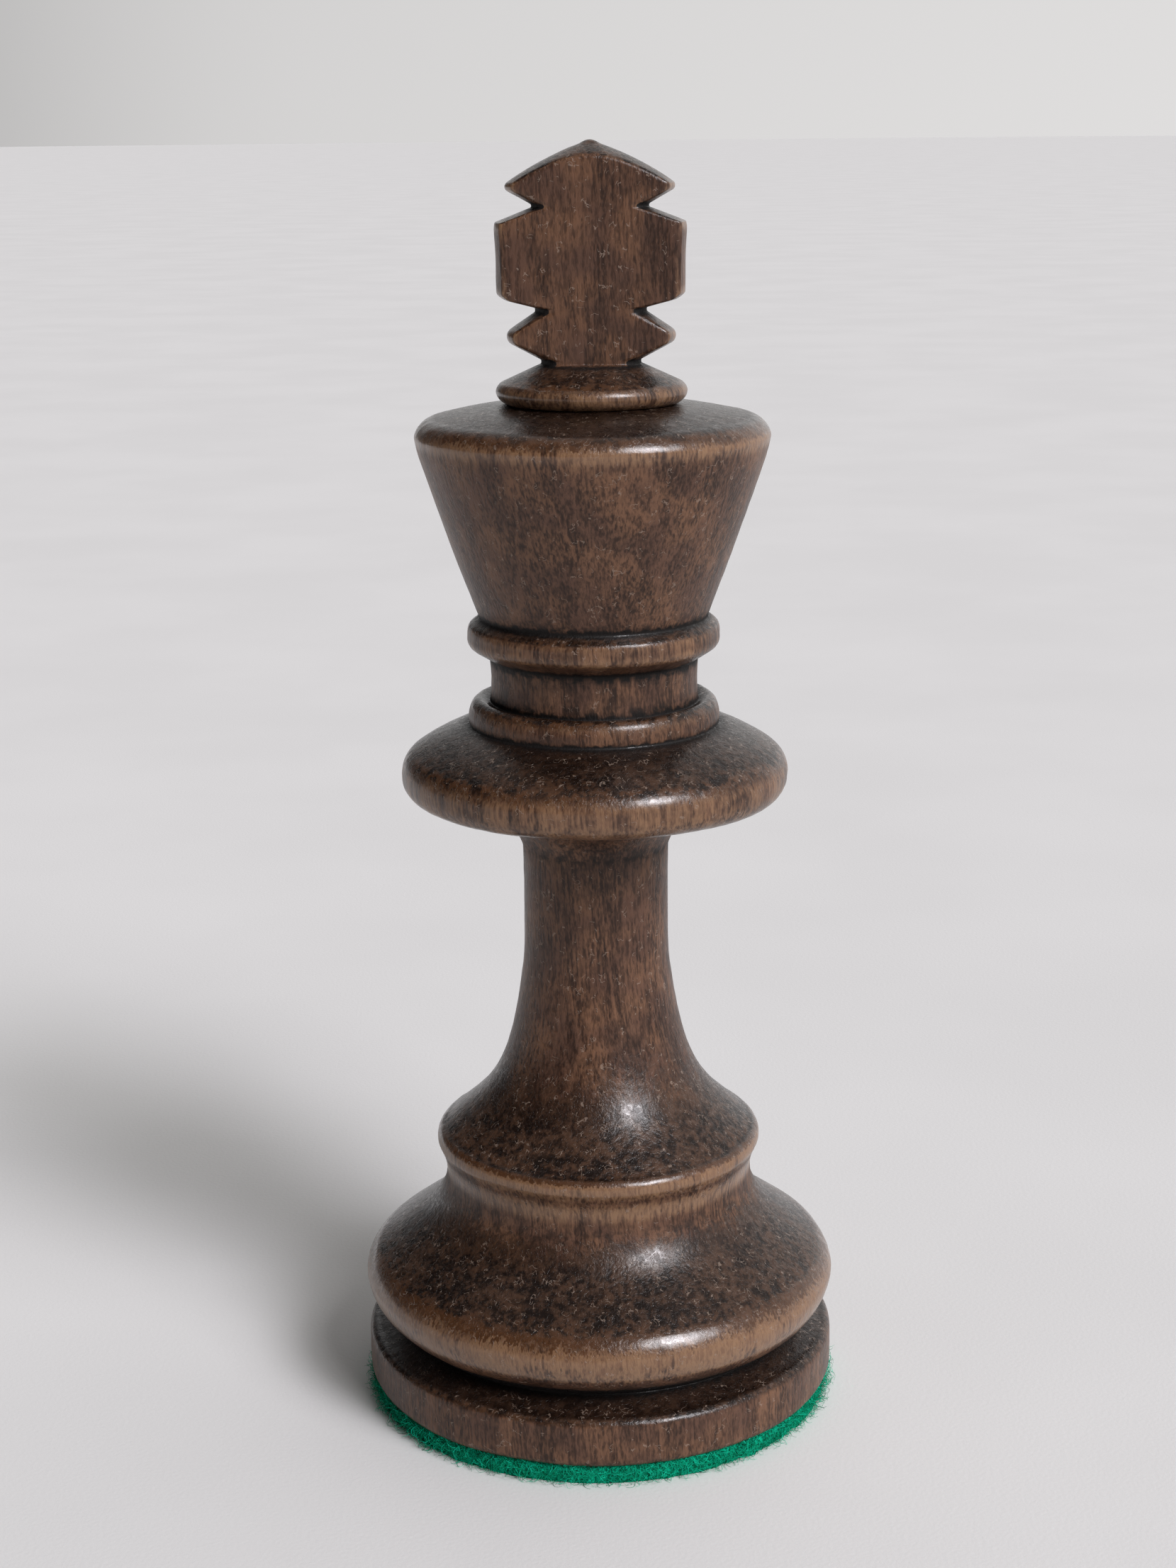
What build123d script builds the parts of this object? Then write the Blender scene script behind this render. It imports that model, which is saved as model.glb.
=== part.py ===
"""A turned wooden chess king: one-piece body, glued-in flat finial, weighted and felted base.

Millimetres, +Z up, origin at the centre of the felt's underside, where the king stands.
The two flats of the finial face +Y and -Y. Every turned outline is drawn upwards, stretch by
stretch, so each height below is the height of its own stretch.
"""
from build123d import *
import os

# ---- Felt pad under the base ----
FELT_THICKNESS = 1.5
FELT_INSET = 0.1            # felt edge inside the edge of the wooden foot

# ---- Base disc, the lowest member ----
DISC_RADIUS = 18.12
DISC_HEIGHT = 3.77
FOOT_ROUND = 0.36            # how far the lower edge rolls in
FOOT_ROUND_HEIGHT = 0.56
FOOT_ROUND_BULGE = 0.09
DISC_ROUND = 0.82            # how far the top edge rolls in
DISC_ROUND_HEIGHT = 0.63
DISC_ROUND_BULGE = 0.2

# ---- Groove between the disc and the base bead ----
GROOVE_DEPTH = 2.7
GROOVE_LOWER_HEIGHT = 0.79
GROOVE_UPPER_DEPTH = 1.75   # from the bead's radius to where its underside starts
GROOVE_UPPER_HEIGHT = 0.79

# ---- Base bead and the bell that rises from it ----
BEAD_RADIUS = 18.2
BEAD_LOWER_HEIGHT = 2.89
BEAD_LOWER_BULGE = 0.44
BEAD_SHOULDER = 0.91         # how far the bead has rolled in at its top
BEAD_UPPER_HEIGHT = 1.69
BEAD_UPPER_BULGE = 0.16
BELL_SLOPE_RUN = 3.2         # straight slope above the bead, inwards
BELL_SLOPE_HEIGHT = 2.3
COVE_RADIUS = 12.7           # on the hollow between the bell and the small neck
COVE_LOWER_HEIGHT = 1.39
COVE_UPPER_HEIGHT = 2.73

# ---- Small neck and thin bead at the top of the bell ----
NECK_RADIUS = 11.72
NECK_TOP_RADIUS = 12.05
NECK_HEIGHT = 1.67
NECK_HOLLOW = 0.08
THIN_BEAD_RADIUS = 12.4
THIN_BEAD_UNDERCUT = 0.08   # how far its lower edge stands in
THIN_BEAD_EDGE_HEIGHT = 0.58
THIN_BEAD_LOWER_HEIGHT = 0.31
THIN_BEAD_LOWER_BULGE = 0.04
THIN_BEAD_SHOULDER = 0.62
THIN_BEAD_UPPER_HEIGHT = 1.0
THIN_BEAD_UPPER_BULGE = 0.22

# ---- Sweep from the thin bead up to the slender stem ----
SWEEP_START_RUN = 1.69       # straight slope before the sweep turns upright
SWEEP_START_HEIGHT = 1.46
SWEEP_LOW_RADIUS = 8.27
SWEEP_LOW_HEIGHT = 2.03
SWEEP_MID_RADIUS = 6.78
SWEEP_MID_HEIGHT = 3.18
SWEEP_HIGH_RADIUS = 5.67
SWEEP_HIGH_HEIGHT = 5.56
STEM_RADIUS = 5.44
STEM_HEIGHT = 7.37
STEM_TOP_RADIUS = 5.48
STEM_TOP_HEIGHT = 2.67

# ---- Wide flange at the top of the stem ----
FLANGE_RADIUS = 14.38
FLANGE_COVE_RADIUS = 9.0    # end of the cove below the flange
FLANGE_COVE_HEIGHT = 2.97
FLANGE_COVE_BULGE = 0.7
FLANGE_UNDERSIDE_ROLL = 1.02
FLANGE_UNDERSIDE_HEIGHT = 0.95
FLANGE_LOWER_HEIGHT = 1.5
FLANGE_LOWER_BULGE = 0.28
FLANGE_SHOULDER = 0.82
FLANGE_UPPER_HEIGHT = 1.96
FLANGE_UPPER_BULGE = 0.29
FLANGE_TOP_HEIGHT = 2.04
FLANGE_TOP_BULGE = 0.19

# ---- Lower ring, neck band and upper ring ----
LOWER_RING_RADIUS = 9.22
LOWER_RING_TAPER = 0.03
LOWER_RING_HEIGHT = 1.19
LOWER_RING_BULGE = 0.08
LOWER_RING_CREST_RADIUS = 8.46
LOWER_RING_CREST_HEIGHT = 0.76
LOWER_RING_CREST_BULGE = 0.15
LOWER_RING_CREASE = 0.32     # how far the crease at the band's foot drops
BAND_RADIUS = 7.71
BAND_HEIGHT = 3.33
BAND_HOLLOW = 0.1
UPPER_RING_RADIUS = 9.29
UPPER_RING_UNDERCUT = 0.25
UPPER_RING_UNDERSIDE_HEIGHT = 0.84
UPPER_RING_LOWER_HEIGHT = 0.83
UPPER_RING_LOWER_BULGE = 0.12
UPPER_RING_ROUND = 0.13
UPPER_RING_UPPER_HEIGHT = 0.83
UPPER_RING_UPPER_BULGE = 0.06
UPPER_RING_TOP_HEIGHT = 0.56

# ---- Crown ----
CROWN_FOOT_RADIUS = 8.42
CROWN_RADIUS = 12.9
CROWN_HEIGHT = 11.79         # nearly straight side
CROWN_BULGE = 0.07
CROWN_RIM_INSET = 0.31      # from the rim's radius to the top of the side
CROWN_RIM_HEIGHT = 1.4
CROWN_RIM_BULGE = 0.02
CROWN_ROUND = 1.6            # how far the rounded rim rolls in
CROWN_ROUND_HEIGHT = 1.37
CROWN_ROUND_BULGE = 0.34
CROWN_TOP_HEIGHT = 0.92      # rise of the shallow dome to the finial's seat
CROWN_TOP_BULGE = 0.1

# ---- Finial: round collar, V notches and flat-sided head ----
COLLAR_RADIUS = 6.9
COLLAR_ROUND = 0.9          # how far the collar's underside rolls in
COLLAR_LOWER_HEIGHT = 0.89
COLLAR_LOWER_BULGE = 0.24
COLLAR_SHOULDER = 0.38
COLLAR_UPPER_HEIGHT = 0.61
COLLAR_UPPER_BULGE = 0.07
COLLAR_TOP_HEIGHT = 1.32
LOW_NOTCH_RADIUS = 3.6
LOW_NOTCH_HEIGHT = 0.3
DISC_HEAD_RADIUS = 6.06
DISC_HEAD_NOSE = 0.25
DISC_HEAD_LOWER_HEIGHT = 1.19
DISC_HEAD_NOSE_HEIGHT = 0.97
DISC_HEAD_UPPER_HEIGHT = 1.21
MID_NOTCH_RADIUS = 4.0
MID_NOTCH_HEIGHT = 0.3
MID_NOTCH_TOP_RISE = 0.53
PANEL_RADIUS = 6.85
PANEL_LOWER_RADIUS = 6.73
PANEL_LOWER_ROUND = 0.72
PANEL_LOWER_ROUND_HEIGHT = 0.49
PANEL_LOWER_ROUND_BULGE = 0.06
PANEL_HEIGHT = 4.48
PANEL_HOLLOW = 0.03
PANEL_UPPER_ROUND = 0.06
PANEL_UPPER_ROUND_HEIGHT = 0.47
PANEL_CHAMFER_HEIGHT = 1.01
TOP_NOTCH_RADIUS = 4.18
TOP_NOTCH_HEIGHT = 0.2
CAP_RADIUS = 6.03
CAP_NOSE = 0.18
CAP_LOWER_HEIGHT = 0.94
CAP_NOSE_HEIGHT = 0.63
CAP_HEIGHT = 2.59
CAP_BULGE = 0.19
TIP_RADIUS = 0.72
TIP_HEIGHT = 0.27
TIP_BULGE = 0.04
TIP_FLAT_RADIUS = 0.1       # nib left where the piece was parted off
HEAD_THICKNESS = 5.0        # between the two flats

# ---- Tenon of the finial and its socket in the crown ----
TENON_RADIUS = 3.0
TENON_LENGTH = 10.0
TENON_CHAMFER = 0.5
SOCKET_GLUE_GAP = 0.08      # all round the tenon
SOCKET_GLUE_DEPTH = 0.8     # below the tenon's end

# ---- Weight in the base ----
WEIGHT_RADIUS = 7.5
WEIGHT_LENGTH = 11.0
WEIGHT_CHAMFER = 0.6
FILLER_WALL = 0.75          # filler around the weight
FILLER_COVER = 2.5          # filler between the weight and the felt
BIT_POINT_RADIUS = 1.2      # mark of the boring bit's centre point
BIT_POINT_DEPTH = 1.4


class Turning:
    """Half outline of a turned piece, drawn from the bottom up."""

    def __init__(self, radius, height):
        self.start = (radius, height)
        self.at = self.start
        self.edges = []

    def line(self, radius, rise):
        """Straight stretch to a radius, rising by rise."""
        end = (radius, self.at[1] + rise)
        self.edges.append(Line(self.at, end))
        self.at = end

    def arc(self, radius, rise, bulge):
        """Round stretch to a radius; a positive bulge swells outwards, a negative one hollows."""
        end = (radius, self.at[1] + rise)
        self.edges.append(SagittaArc(self.at, end, -bulge))
        self.at = end

    def sweep(self, stretches, leaving):
        """One smooth curve through (radius, rise) stretches, leaving in the given direction."""
        points = [self.at]
        for radius, rise in stretches:
            points.append((radius, points[-1][1] + rise))
        self.edges.append(Spline(*points, tangents=[leaving, (0, 1)]))
        self.at = points[-1]

    def solid(self):
        """Close the outline on the axis and turn it."""
        self.line(0, 0)
        closing = Polyline(self.at, (0, self.start[1]), self.start)
        face = make_face(Curve() + self.edges + closing)
        return revolve(Plane.XZ * face, Axis.Z)


def drilled(radius, depth, height):
    """A cylinder that goes up from a height, to be cut out or put in."""
    return Pos(0, 0, height + depth / 2) * Cylinder(radius, depth)


def turn_base(turning):
    """Disc, groove, bead and bell, up to the thin bead."""
    turning.arc(DISC_RADIUS, FOOT_ROUND_HEIGHT, FOOT_ROUND_BULGE)
    turning.line(DISC_RADIUS, DISC_HEIGHT - FOOT_ROUND_HEIGHT - DISC_ROUND_HEIGHT)
    turning.arc(DISC_RADIUS - DISC_ROUND, DISC_ROUND_HEIGHT, DISC_ROUND_BULGE)
    turning.line(DISC_RADIUS - GROOVE_DEPTH, GROOVE_LOWER_HEIGHT)
    turning.line(BEAD_RADIUS - GROOVE_UPPER_DEPTH, GROOVE_UPPER_HEIGHT)
    turning.arc(BEAD_RADIUS, BEAD_LOWER_HEIGHT, BEAD_LOWER_BULGE)
    turning.arc(BEAD_RADIUS - BEAD_SHOULDER, BEAD_UPPER_HEIGHT, BEAD_UPPER_BULGE)
    slope_top = BEAD_RADIUS - BEAD_SHOULDER - BELL_SLOPE_RUN
    turning.line(slope_top, BELL_SLOPE_HEIGHT)
    turning.sweep(
        [(COVE_RADIUS, COVE_LOWER_HEIGHT), (NECK_RADIUS, COVE_UPPER_HEIGHT)],
        leaving=(-BELL_SLOPE_RUN, BELL_SLOPE_HEIGHT),
    )
    turning.arc(NECK_TOP_RADIUS, NECK_HEIGHT, -NECK_HOLLOW)
    turning.line(THIN_BEAD_RADIUS - THIN_BEAD_UNDERCUT, THIN_BEAD_EDGE_HEIGHT)
    turning.arc(THIN_BEAD_RADIUS, THIN_BEAD_LOWER_HEIGHT, THIN_BEAD_LOWER_BULGE)
    turning.arc(THIN_BEAD_RADIUS - THIN_BEAD_SHOULDER, THIN_BEAD_UPPER_HEIGHT, THIN_BEAD_UPPER_BULGE)


def turn_stem(turning):
    """The sweep from the thin bead to the stem, and the stem up to the flange."""
    start = THIN_BEAD_RADIUS - THIN_BEAD_SHOULDER - SWEEP_START_RUN
    turning.line(start, SWEEP_START_HEIGHT)
    turning.sweep(
        [
            (SWEEP_LOW_RADIUS, SWEEP_LOW_HEIGHT),
            (SWEEP_MID_RADIUS, SWEEP_MID_HEIGHT),
            (SWEEP_HIGH_RADIUS, SWEEP_HIGH_HEIGHT),
            (STEM_RADIUS, STEM_HEIGHT),
        ],
        leaving=(-SWEEP_START_RUN, SWEEP_START_HEIGHT),
    )
    turning.line(STEM_TOP_RADIUS, STEM_TOP_HEIGHT)


def turn_flange(turning):
    """The wide flange, from the cove below it to the ring above it."""
    turning.arc(FLANGE_COVE_RADIUS, FLANGE_COVE_HEIGHT, -FLANGE_COVE_BULGE)
    turning.line(FLANGE_RADIUS - FLANGE_UNDERSIDE_ROLL, FLANGE_UNDERSIDE_HEIGHT)
    turning.arc(FLANGE_RADIUS, FLANGE_LOWER_HEIGHT, FLANGE_LOWER_BULGE)
    turning.arc(FLANGE_RADIUS - FLANGE_SHOULDER, FLANGE_UPPER_HEIGHT, FLANGE_UPPER_BULGE)
    turning.arc(LOWER_RING_RADIUS, FLANGE_TOP_HEIGHT, FLANGE_TOP_BULGE)


def turn_rings(turning):
    """Lower ring, hollow neck band and upper ring."""
    ring_top = LOWER_RING_RADIUS - LOWER_RING_TAPER
    turning.arc(ring_top, LOWER_RING_HEIGHT, LOWER_RING_BULGE)
    turning.arc(LOWER_RING_CREST_RADIUS, LOWER_RING_CREST_HEIGHT, LOWER_RING_CREST_BULGE)
    turning.line(BAND_RADIUS, -LOWER_RING_CREASE)
    turning.arc(BAND_RADIUS, BAND_HEIGHT, -BAND_HOLLOW)
    turning.line(UPPER_RING_RADIUS - UPPER_RING_UNDERCUT, UPPER_RING_UNDERSIDE_HEIGHT)
    turning.arc(UPPER_RING_RADIUS, UPPER_RING_LOWER_HEIGHT, UPPER_RING_LOWER_BULGE)
    turning.arc(UPPER_RING_RADIUS - UPPER_RING_ROUND, UPPER_RING_UPPER_HEIGHT, UPPER_RING_UPPER_BULGE)
    turning.line(CROWN_FOOT_RADIUS, UPPER_RING_TOP_HEIGHT)


def turn_crown(turning):
    """Flaring crown with its rounded rim and the shallow dome up to the finial's seat."""
    turning.arc(CROWN_RADIUS - CROWN_RIM_INSET, CROWN_HEIGHT, CROWN_BULGE)
    turning.arc(CROWN_RADIUS, CROWN_RIM_HEIGHT, CROWN_RIM_BULGE)
    turning.arc(CROWN_RADIUS - CROWN_ROUND, CROWN_ROUND_HEIGHT, CROWN_ROUND_BULGE)
    turning.arc(COLLAR_RADIUS - COLLAR_ROUND, CROWN_TOP_HEIGHT, CROWN_TOP_BULGE)


def make_body():
    """The one-piece body with its socket and weight pocket; also gives the seat's height."""
    turning = Turning(DISC_RADIUS - FOOT_ROUND, FELT_THICKNESS)
    turn_base(turning)
    turn_stem(turning)
    turn_flange(turning)
    turn_rings(turning)
    turn_crown(turning)
    seat = turning.at[1]
    socket_depth = TENON_LENGTH + SOCKET_GLUE_DEPTH
    socket = drilled(TENON_RADIUS + SOCKET_GLUE_GAP, socket_depth, seat - socket_depth)
    pocket_depth = FILLER_COVER + WEIGHT_LENGTH
    pocket = drilled(WEIGHT_RADIUS + FILLER_WALL, pocket_depth, FELT_THICKNESS)
    pocket_top = FELT_THICKNESS + pocket_depth
    bit_point = Pos(0, 0, pocket_top + BIT_POINT_DEPTH / 2) * Cone(BIT_POINT_RADIUS, 0, BIT_POINT_DEPTH)
    return turning.solid() - socket - pocket - bit_point, seat


def turn_collar(turning):
    """The finial's round collar and the notch above it."""
    turning.arc(COLLAR_RADIUS, COLLAR_LOWER_HEIGHT, COLLAR_LOWER_BULGE)
    turning.arc(COLLAR_RADIUS - COLLAR_SHOULDER, COLLAR_UPPER_HEIGHT, COLLAR_UPPER_BULGE)
    turning.line(LOW_NOTCH_RADIUS, COLLAR_TOP_HEIGHT)
    shoulder = turning.at[1]
    turning.line(LOW_NOTCH_RADIUS, LOW_NOTCH_HEIGHT)
    return shoulder


def turn_head(turning):
    """The finial's head: a disc, a tall panel and a cap, with a V notch between each two."""
    nose = DISC_HEAD_RADIUS - DISC_HEAD_NOSE
    turning.line(nose, DISC_HEAD_LOWER_HEIGHT)
    turning.arc(nose, DISC_HEAD_NOSE_HEIGHT, DISC_HEAD_NOSE)
    turning.line(MID_NOTCH_RADIUS, DISC_HEAD_UPPER_HEIGHT)
    turning.line(MID_NOTCH_RADIUS, MID_NOTCH_HEIGHT)
    turning.line(PANEL_LOWER_RADIUS - PANEL_LOWER_ROUND, MID_NOTCH_TOP_RISE)
    turning.arc(PANEL_LOWER_RADIUS, PANEL_LOWER_ROUND_HEIGHT, PANEL_LOWER_ROUND_BULGE)
    turning.arc(PANEL_RADIUS, PANEL_HEIGHT, -PANEL_HOLLOW)
    turning.line(PANEL_RADIUS - PANEL_UPPER_ROUND, PANEL_UPPER_ROUND_HEIGHT)
    turning.line(TOP_NOTCH_RADIUS, PANEL_CHAMFER_HEIGHT)
    turning.line(TOP_NOTCH_RADIUS, TOP_NOTCH_HEIGHT)
    nose = CAP_RADIUS - CAP_NOSE
    turning.line(nose, CAP_LOWER_HEIGHT)
    turning.arc(nose, CAP_NOSE_HEIGHT, CAP_NOSE)
    turning.arc(TIP_RADIUS, CAP_HEIGHT, CAP_BULGE)
    turning.arc(TIP_FLAT_RADIUS, TIP_HEIGHT, TIP_BULGE)


def make_finial(seat):
    """The turned finial, cut flat on two sides above its collar, with its tenon below."""
    turning = Turning(COLLAR_RADIUS - COLLAR_ROUND, seat)
    shoulder = turn_collar(turning)
    turn_head(turning)
    top = turning.at[1]
    head_height = top - shoulder
    side_cut = Pos(0, 0, shoulder + head_height / 2) * (
        Box(4 * PANEL_RADIUS, 4 * PANEL_RADIUS, head_height)
        - Box(4 * PANEL_RADIUS, HEAD_THICKNESS, head_height)
    )
    tenon = drilled(TENON_RADIUS, TENON_LENGTH, seat - TENON_LENGTH)
    tenon = chamfer(tenon.edges().sort_by(Axis.Z)[0], TENON_CHAMFER)
    return turning.solid() - side_cut + tenon


def make_weight():
    """Steel slug at the top of the pocket."""
    slug = drilled(WEIGHT_RADIUS, WEIGHT_LENGTH, FELT_THICKNESS + FILLER_COVER)
    return chamfer(slug.edges().filter_by(GeomType.CIRCLE), WEIGHT_CHAMFER)


def make_filler(weight):
    """Filler that beds the slug and closes the pocket flush with the foot."""
    depth = FILLER_COVER + WEIGHT_LENGTH
    return drilled(WEIGHT_RADIUS + FILLER_WALL, depth, FELT_THICKNESS) - weight


def make_felt():
    """Round felt pad glued under the foot."""
    return drilled(DISC_RADIUS - FOOT_ROUND - FELT_INSET, FELT_THICKNESS, 0)


def main():
    """Build every piece and write one file for each."""
    os.makedirs("parts", exist_ok=True)
    body, seat = make_body()
    weight = make_weight()
    pieces = {
        "body": body,
        "finial": make_finial(seat),
        "weight_slug": weight,
        "weight_filler": make_filler(weight),
        "felt_pad": make_felt(),
    }
    for name, piece in pieces.items():
        export_step(piece, f"parts/{name}.step")
        box = piece.bounding_box()
        print(f"{name}: {len(piece.solids())} solid, z {box.min.Z:.2f} to {box.max.Z:.2f}")


main()
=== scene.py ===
"""The looks of a turned, dark-stained chess king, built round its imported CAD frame.

Metres, +Z up, origin at the centre of the felt's underside. The flats of the finial face +Y and -Y.
Each turned piece takes its outline from the section of its CAD node, so it follows the CAD sizes.
"""
import logging
import math
from dataclasses import dataclass
from enum import Enum

import bmesh
import bpy
import numpy as np
from mathutils import Euler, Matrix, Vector


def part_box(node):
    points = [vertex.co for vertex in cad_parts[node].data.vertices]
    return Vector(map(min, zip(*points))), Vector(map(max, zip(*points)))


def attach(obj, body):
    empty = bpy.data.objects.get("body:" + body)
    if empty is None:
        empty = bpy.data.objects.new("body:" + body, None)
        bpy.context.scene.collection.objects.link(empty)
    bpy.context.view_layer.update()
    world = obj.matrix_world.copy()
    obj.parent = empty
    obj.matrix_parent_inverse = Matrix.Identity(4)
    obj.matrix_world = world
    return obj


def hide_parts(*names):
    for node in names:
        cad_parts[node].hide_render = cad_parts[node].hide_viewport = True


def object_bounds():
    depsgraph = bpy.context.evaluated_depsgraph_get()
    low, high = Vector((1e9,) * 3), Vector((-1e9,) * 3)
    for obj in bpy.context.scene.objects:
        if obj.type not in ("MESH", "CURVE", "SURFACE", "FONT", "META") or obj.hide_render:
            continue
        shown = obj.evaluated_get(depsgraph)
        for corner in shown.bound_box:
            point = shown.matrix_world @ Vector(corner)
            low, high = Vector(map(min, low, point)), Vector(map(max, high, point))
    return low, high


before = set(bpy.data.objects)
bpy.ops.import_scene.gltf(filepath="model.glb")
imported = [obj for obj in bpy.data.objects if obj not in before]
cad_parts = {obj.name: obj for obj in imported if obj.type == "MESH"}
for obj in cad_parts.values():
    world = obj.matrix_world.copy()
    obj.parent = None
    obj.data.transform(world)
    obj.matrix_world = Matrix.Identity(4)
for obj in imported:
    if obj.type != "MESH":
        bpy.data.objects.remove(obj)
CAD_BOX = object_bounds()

MM = 0.001
ROOT = "root"
BAKE_MAP = "OFBake"
MIDDLE = 0.5
SECTION_DIGITS = 4
SECTION_SLACK = 0.001
log = logging.getLogger("chess_king")

Colour = tuple[float, float, float]
Span = tuple[float, float]
Shares = tuple[tuple[str, float], ...]


# ---------------------------------------------------------------- shader expressions


class Value:
    """A node's output socket, used in Python expressions; each operator adds a Math node."""

    def __init__(self, shader: "Shader", socket: bpy.types.NodeSocket) -> None:
        """Keep the shader that owns the socket, and the socket."""
        self.shader = shader
        self.socket = socket

    def math(self, operation: str, *operands: "Value | float") -> "Value":
        """Add a Math node.

        Args:
            operation: The Math node's operation.
            operands: Its inputs, in order.

        Returns:
            The node's result.
        """
        return self.shader.node("ShaderNodeMath", {"operation": operation}, dict(enumerate(operands)))

    def __add__(self, other: "Value | float") -> "Value":
        """self + other."""
        return self.math("ADD", self, other)

    def __radd__(self, other: float) -> "Value":
        """other + self."""
        return self.math("ADD", other, self)

    def __sub__(self, other: "Value | float") -> "Value":
        """self - other."""
        return self.math("SUBTRACT", self, other)

    def __rsub__(self, other: float) -> "Value":
        """other - self."""
        return self.math("SUBTRACT", other, self)

    def __mul__(self, other: "Value | float") -> "Value":
        """self * other."""
        return self.math("MULTIPLY", self, other)

    def __rmul__(self, other: float) -> "Value":
        """other * self."""
        return self.math("MULTIPLY", other, self)

    def __abs__(self) -> "Value":
        """Distance from zero."""
        return self.math("ABSOLUTE", self)

    def most(self, other: "Value | float") -> "Value":
        """The larger of the two."""
        return self.math("MAXIMUM", self, other)

    def rise(self, low: float, high: float) -> "Value":
        """Ease from 0 to 1.

        Args:
            low: Where the result is 0.
            high: Where it is 1; below low, it falls instead.

        Returns:
            The eased value, from 0 to 1.
        """
        if low > high:
            return 1 - self.rise(high, low)
        settings = {"interpolation_type": "SMOOTHSTEP"}
        return self.shader.node("ShaderNodeMapRange", settings, {0: self, 1: low, 2: high})


class Shader:
    """The nodes of one material or world."""

    def __init__(
        self, owner: bpy.types.Material | bpy.types.World, surface: str = "Principled BSDF"
    ) -> None:
        """Start with only the surface shader.

        Args:
            owner: A new material or world.
            surface: The name of its surface shader.
        """
        owner.use_nodes = True
        self.owner = owner
        self.tree = owner.node_tree
        self.surface = self.tree.nodes[surface]

    @classmethod
    def of_material(cls, name: str) -> "Shader":
        """The shader of a new material with that name."""
        return cls(bpy.data.materials.new(name))

    def node(
        self,
        kind: str,
        settings: dict[str, object] | None = None,
        sockets: dict[int | str, object] | None = None,
        output: int | str = 0,
    ) -> Value:
        """Add any node.

        Args:
            kind: The node's type.
            settings: Its properties, set before its sockets.
            sockets: What goes into its inputs: numbers, tuples or links.
            output: Which output to give back.

        Returns:
            That output.
        """
        made = self.tree.nodes.new(kind)
        for name, setting in (settings or {}).items():
            setattr(made, name, setting)
        for key, given in (sockets or {}).items():
            self.feed(made.inputs[key], given)
        return Value(self, made.outputs[output])

    def feed(self, socket: bpy.types.NodeSocket, given: object) -> None:
        """Link a value to a socket, or set the socket's own value.

        Args:
            socket: The input.
            given: The value to link, or the number, tuple or colour to set.
        """
        if isinstance(given, Value):
            self.tree.links.new(given.socket, socket)
        elif socket.type == "RGBA":
            socket.default_value = (*given, 1.0)
        else:
            socket.default_value = given

    def place(self, turn: Colour = (0.0, 0.0, 0.0)) -> Value:
        """The point on the piece, in millimetres.

        Args:
            turn: Rotation of the axes, in radians.

        Returns:
            The vector.
        """
        own = self.node("ShaderNodeTexCoord", output="Object")
        return self.node("ShaderNodeMapping", {}, {"Vector": own, "Rotation": turn, "Scale": (1 / MM,) * 3})

    def stretch(self, vector: Value, scale: Colour) -> Value:
        """The vector multiplied by a scale on each axis."""
        return self.node("ShaderNodeVectorMath", {"operation": "MULTIPLY"}, {0: vector, 1: scale})

    def noise(self, vector: Value, scale: float, detail: float = 2.0, roughness: float = 0.5) -> Value:
        """Soft noise.

        Args:
            vector: Where to read it.
            scale: Features per unit of the vector.
            detail: Octaves of finer noise.
            roughness: Strength of the finer noise.

        Returns:
            The noise, from 0 to 1 and mostly near 0.5.
        """
        sockets = {"Vector": vector, "Scale": scale, "Detail": detail, "Roughness": roughness}
        return self.node("ShaderNodeTexNoise", {}, sockets)

    def cells(self, vector: Value, scale: float) -> Value:
        """Distance to the nearest of many scattered points."""
        return self.node("ShaderNodeTexVoronoi", {}, {"Vector": vector, "Scale": scale})

    def read(self, attribute: str) -> Value:
        """A number stored on the mesh."""
        return self.node("ShaderNodeAttribute", {"attribute_name": attribute}, output="Fac")

    def mix(self, low: Value | Colour, high: Value | Colour, amount: Value | float) -> Value:
        """Blend two colours.

        Args:
            low: The colour at 0.
            high: The colour at 1.
            amount: How much of the second.

        Returns:
            The blended colour.
        """
        settings = {"data_type": "RGBA", "clamp_factor": True}
        return self.node("ShaderNodeMix", settings, {0: amount, 6: low, 7: high}, 2)

    def bump(self, height: Value, depth: float) -> Value:
        """A bumped normal.

        Args:
            height: Relief, in units of the depth.
            depth: Metres for one unit.

        Returns:
            The normal.
        """
        return self.node("ShaderNodeBump", {}, {"Height": height, "Distance": depth, "Strength": 1.0})

    def finish(
        self, colour: Value | Colour, roughness: Value | float, **others: object
    ) -> bpy.types.Material:
        """Feed the surface shader.

        Args:
            colour: Base colour.
            roughness: Roughness.
            others: Values of other sockets, with _ for a space in their names.

        Returns:
            The material.
        """
        for name, given in {"Base_Color": colour, "Roughness": roughness, **others}.items():
            self.feed(self.surface.inputs[name.replace("_", " ")], given)
        return self.owner


# ---------------------------------------------------------------- finishes


class Mark(Enum):
    """Numbers that the turned meshes carry for their finish."""

    END = "end_grain"
    EDGE = "worn_edge"
    # Hollows of the outline, which the wood darkens with dirt and painted shade.
    HOLLOW = "hollow"


@dataclass(frozen=True)
class Layer:
    """One noise pattern, with its scale in features per millimetre.

    Its span is the two levels of the noise that it is eased between, fine the strength of its finer
    octaves, and grain the share of the scale that is left along the grain.
    """

    scale: float
    span: Span
    detail: float = 1.0
    fine: float = 0.5
    grain: float = 1.0

    def noise(self, shader: Shader, place: Value) -> Value:
        """The noise before it is eased."""
        place = shader.stretch(place, (1.0, 1.0, self.grain))
        return shader.noise(place, self.scale, self.detail, self.fine)

    def patches(self, shader: Shader, place: Value) -> Value:
        """Patches: 0 where the noise is low and 1 where it is high."""
        return self.noise(shader, place).rise(*self.span)

    def veins(self, shader: Shader, place: Value) -> Value:
        """Thin winding lines where the noise is at its middle."""
        return abs(self.noise(shader, place) - MIDDLE).rise(*self.span)


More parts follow.
